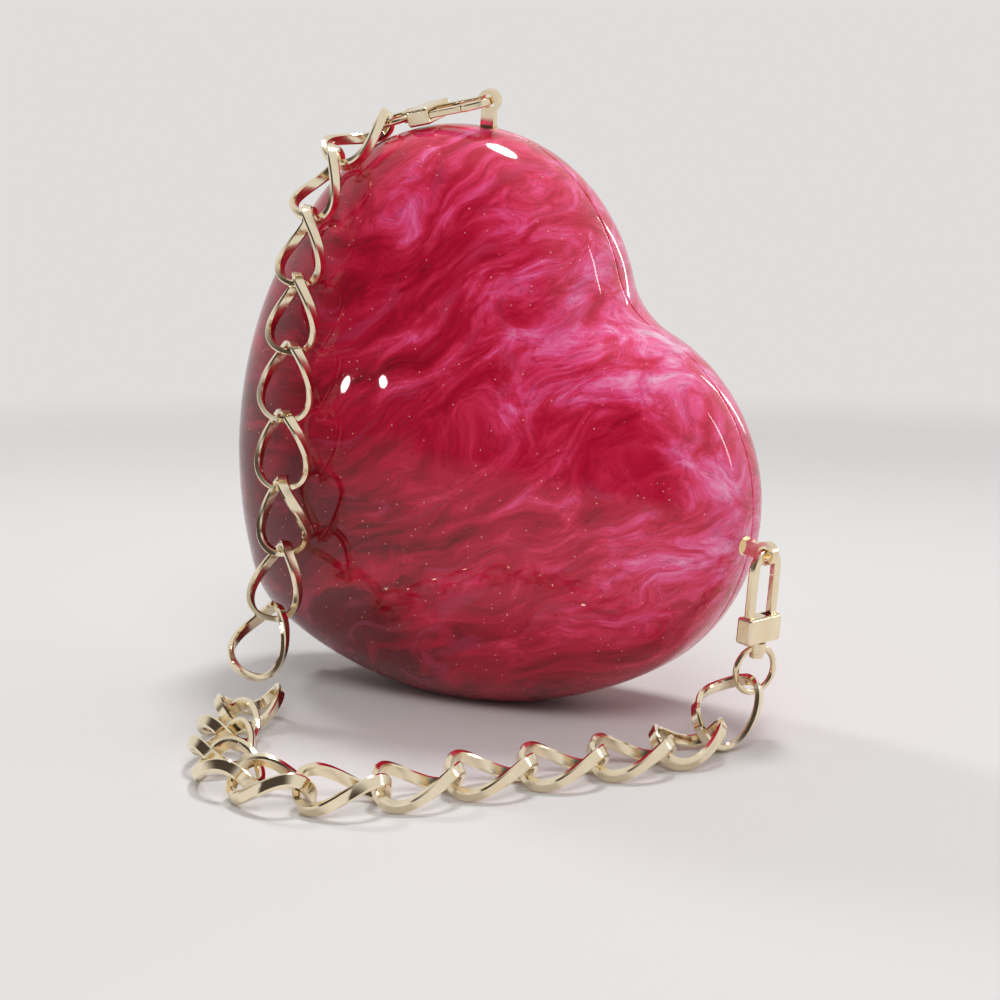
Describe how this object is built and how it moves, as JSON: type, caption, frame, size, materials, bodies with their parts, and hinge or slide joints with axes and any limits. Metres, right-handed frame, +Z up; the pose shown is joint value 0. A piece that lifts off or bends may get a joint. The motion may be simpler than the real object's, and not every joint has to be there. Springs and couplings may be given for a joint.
{
  "type": "heart shaped purse",
  "caption": "Heart shaped hard purse of two domed acrylic halves, hinged at the tip with a magnetic catch, on a twisted link chain held by swivel snap hooks.",
  "frame": {"origin": "On the stand surface, on the flat foot under the seam, midway along it.", "axes": "+Z is up. +Y points from the front half to the lid half, square to the seam. +X points to the lower lobe, where the second hook hangs."},
  "size_m": [0.1835, 0.1642, 0.1828],
  "materials": {
    "marbled_acrylic": "polished, marbled crimson and pink",
    "gold_hardware": "polished pale gold plate",
    "chain_metal": "polished pale gold",
    "spring_steel": "bright",
    "magnet": "nickel plated"
  },
  "bodies": {
    "body": {"body_shell": "marbled_acrylic", "body_hinge_leaf": "gold_hardware", "hinge_pin": "gold_hardware", "body_hinge_screw_1": "gold_hardware", "body_hinge_screw_2": "gold_hardware", "body_magnet_1": "magnet", "body_magnet_2": "magnet", "lug_a": "gold_hardware", "lug_washer_a": "gold_hardware", "lug_nut_a": "gold_hardware", "lug_b": "gold_hardware", "lug_washer_b": "gold_hardware", "lug_nut_b": "gold_hardware"},
    "lid": {"lid_shell": "marbled_acrylic", "lid_hinge_leaf": "gold_hardware", "lid_hinge_screw_1": "gold_hardware", "lid_hinge_screw_2": "gold_hardware", "lid_magnet_1": "magnet", "lid_magnet_2": "magnet"},
    "hook_a": {"hook_a": "gold_hardware", "gate_pin_a": "gold_hardware", "swivel_rivet_a": "gold_hardware"},
    "gate_a": {"gate_a": "gold_hardware", "gate_spring_a": "spring_steel"},
    "ring_a": {"swivel_ring_a": "gold_hardware"},
    "hook_b": {"hook_b": "gold_hardware", "gate_pin_b": "gold_hardware", "swivel_rivet_b": "gold_hardware"},
    "gate_b": {"gate_b": "gold_hardware", "gate_spring_b": "spring_steel"},
    "ring_b": {"swivel_ring_b": "gold_hardware"},
    "link_01": {"chain_link_01": "chain_metal"},
    "link_02": {"chain_link_02": "chain_metal"},
    "link_03": {"chain_link_03": "chain_metal"},
    "link_04": {"chain_link_04": "chain_metal"},
    "link_05": {"chain_link_05": "chain_metal"},
    "link_06": {"chain_link_06": "chain_metal"},
    "link_07": {"chain_link_07": "chain_metal"},
    "link_08": {"chain_link_08": "chain_metal"},
    "link_09": {"chain_link_09": "chain_metal"},
    "link_10": {"chain_link_10": "chain_metal"},
    "link_11": {"chain_link_11": "chain_metal"},
    "link_12": {"chain_link_12": "chain_metal"},
    "link_13": {"chain_link_13": "chain_metal"},
    "link_14": {"chain_link_14": "chain_metal"},
    "link_15": {"chain_link_15": "chain_metal"},
    "link_16": {"chain_link_16": "chain_metal"},
    "link_17": {"chain_link_17": "chain_metal"},
    "link_18": {"chain_link_18": "chain_metal"},
    "link_19": {"chain_link_19": "chain_metal"},
    "link_20": {"chain_link_20": "chain_metal"},
    "link_21": {"chain_link_21": "chain_metal"}
  },
  "joints": [
    {"name": "lid_hinge", "type": "hinge", "parent": "body", "child": "lid", "pos_m": [-0.07378, 0, 0.02394], "axis": [-0.6088, 0, 0.7934], "range_deg": [0, 100]},
    {"name": "hook_a_tilt", "type": "hinge", "parent": "body", "child": "hook_a", "pos_m": [0.00843, -0.0069, 0.17927], "axis": [-0.0131, 0.9525, 0.3042], "range_deg": [0, 40]},
    {"name": "ring_a_swivel", "type": "hinge", "parent": "hook_a", "child": "ring_a", "pos_m": [-0.02501, -0.00605, 0.17519], "axis": [-0.9923, 0.025, -0.121], "range_deg": [0, 12]},
    {"name": "gate_a_pivot", "type": "hinge", "parent": "hook_a", "child": "gate_a", "pos_m": [-0.01453, -0.01079, 0.17504], "axis": [-0.1229, -0.3034, 0.9449], "range_deg": [0, 18], "stiffness_Nm_per_rad": 0.01, "springref_deg": -2.86},
    {"name": "hook_b_tilt", "type": "hinge", "parent": "body", "child": "hook_b", "pos_m": [0.09676, -0.0069, 0.05373], "axis": [-0.2957, -0.9553, 0], "range_deg": [0, 12]},
    {"name": "ring_b_swivel", "type": "hinge", "parent": "hook_b", "child": "ring_b", "pos_m": [0.09367, -0.00594, 0.02019], "axis": [0.0916, -0.0283, 0.9954], "range_deg": [0, 10]},
    {"name": "gate_b_pivot", "type": "hinge", "parent": "hook_b", "child": "gate_b", "pos_m": [0.09602, -0.00175, 0.03064], "axis": [0.9509, -0.2943, -0.0958], "range_deg": [0, 18], "stiffness_Nm_per_rad": 0.01, "springref_deg": -2.86},
    {"name": "link_01_joint", "type": "hinge", "parent": "ring_a", "child": "link_01", "pos_m": [-0.02666, -0.00882, 0.17409], "axis": [-0.8659, 0.4979, 0.0473], "range_deg": [0, 12]},
    {"name": "link_02_joint", "type": "hinge", "parent": "link_01", "child": "link_02", "pos_m": [-0.03501, -0.02329, 0.16405], "axis": [0, 1, 0], "range_deg": [0, 12]},
    {"name": "link_03_joint", "type": "hinge", "parent": "link_02", "child": "link_03", "pos_m": [-0.03824, -0.03265, 0.1469], "axis": [0, 1, 0], "range_deg": [0, 12]},
    {"name": "link_04_joint", "type": "hinge", "parent": "link_03", "child": "link_04", "pos_m": [-0.03916, -0.0374, 0.1275], "axis": [0, 1, 0], "range_deg": [0, 12]},
    {"name": "link_05_joint", "type": "hinge", "parent": "link_04", "child": "link_05", "pos_m": [-0.03943, -0.04121, 0.10787], "axis": [0, 1, 0], "range_deg": [0, 12]},
    {"name": "link_06_joint", "type": "hinge", "parent": "link_05", "child": "link_06", "pos_m": [-0.03997, -0.04429, 0.08811], "axis": [0, 1, 0], "range_deg": [0, 12]},
    {"name": "link_07_joint", "type": "hinge", "parent": "link_06", "child": "link_07", "pos_m": [-0.04015, -0.04532, 0.06814], "axis": [0, 1, 0], "range_deg": [0, 12]},
    {"name": "link_08_joint", "type": "hinge", "parent": "link_07", "child": "link_08", "pos_m": [-0.0414, -0.04367, 0.04845], "axis": [0, 1, 0], "range_deg": [0, 6]},
    {"name": "link_09_joint", "type": "hinge", "parent": "link_08", "child": "link_09", "pos_m": [-0.04222, -0.04954, 0.03019], "axis": [0, 1, 0], "range_deg": [0, 12]},
    {"name": "link_21_joint", "type": "hinge", "parent": "ring_b", "child": "link_21", "pos_m": [0.09153, -0.00896, 0.01667], "axis": [0, 0, 1], "range_deg": [0, 12]},
    {"name": "link_20_joint", "type": "hinge", "parent": "link_21", "child": "link_20", "pos_m": [0.08836, -0.02388, 0.00586], "axis": [0, 0, 1], "range_deg": [0, 12]},
    {"name": "link_19_joint", "type": "hinge", "parent": "link_20", "child": "link_19", "pos_m": [0.08326, -0.0429, 0.00536], "axis": [0, 0, 1], "range_deg": [0, 12]},
    {"name": "link_18_joint", "type": "hinge", "parent": "link_19", "child": "link_18", "pos_m": [0.07151, -0.05908, 0.00536], "axis": [0, 0, 1], "range_deg": [0, 12]},
    {"name": "link_17_joint", "type": "hinge", "parent": "link_18", "child": "link_17", "pos_m": [0.05919, -0.07484, 0.00536], "axis": [0, 0, 1], "range_deg": [0, 12]},
    {"name": "link_16_joint", "type": "hinge", "parent": "link_17", "child": "link_16", "pos_m": [0.04661, -0.09039, 0.00536], "axis": [0, 0, 1], "range_deg": [0, 12]},
    {"name": "link_15_joint", "type": "hinge", "parent": "link_16", "child": "link_15", "pos_m": [0.03627, -0.10692, 0.00536], "axis": [0, 0, 1], "range_deg": [0, 12]},
    {"name": "link_14_joint", "type": "hinge", "parent": "link_15", "child": "link_14", "pos_m": [0.01991, -0.11715, 0.00536], "axis": [0, 0, 1], "range_deg": [0, 12]},
    {"name": "link_13_joint", "type": "hinge", "parent": "link_14", "child": "link_13", "pos_m": [0.00061, -0.11749, 0.00536], "axis": [0, 0, 1], "range_deg": [0, 12]},
    {"name": "link_12_joint", "type": "hinge", "parent": "link_13", "child": "link_12", "pos_m": [-0.01602, -0.10789, 0.00536], "axis": [0, 0, 1], "range_deg": [0, 12]},
    {"name": "link_11_joint", "type": "hinge", "parent": "link_12", "child": "link_11", "pos_m": [-0.02592, -0.09074, 0.00536], "axis": [0, 0, 1], "range_deg": [0, 12]},
    {"name": "link_10_joint", "type": "hinge", "parent": "link_11", "child": "link_10", "pos_m": [-0.03735, -0.07557, 0.00536], "axis": [0, 0, 1], "range_deg": [0, 12]}
  ]
}
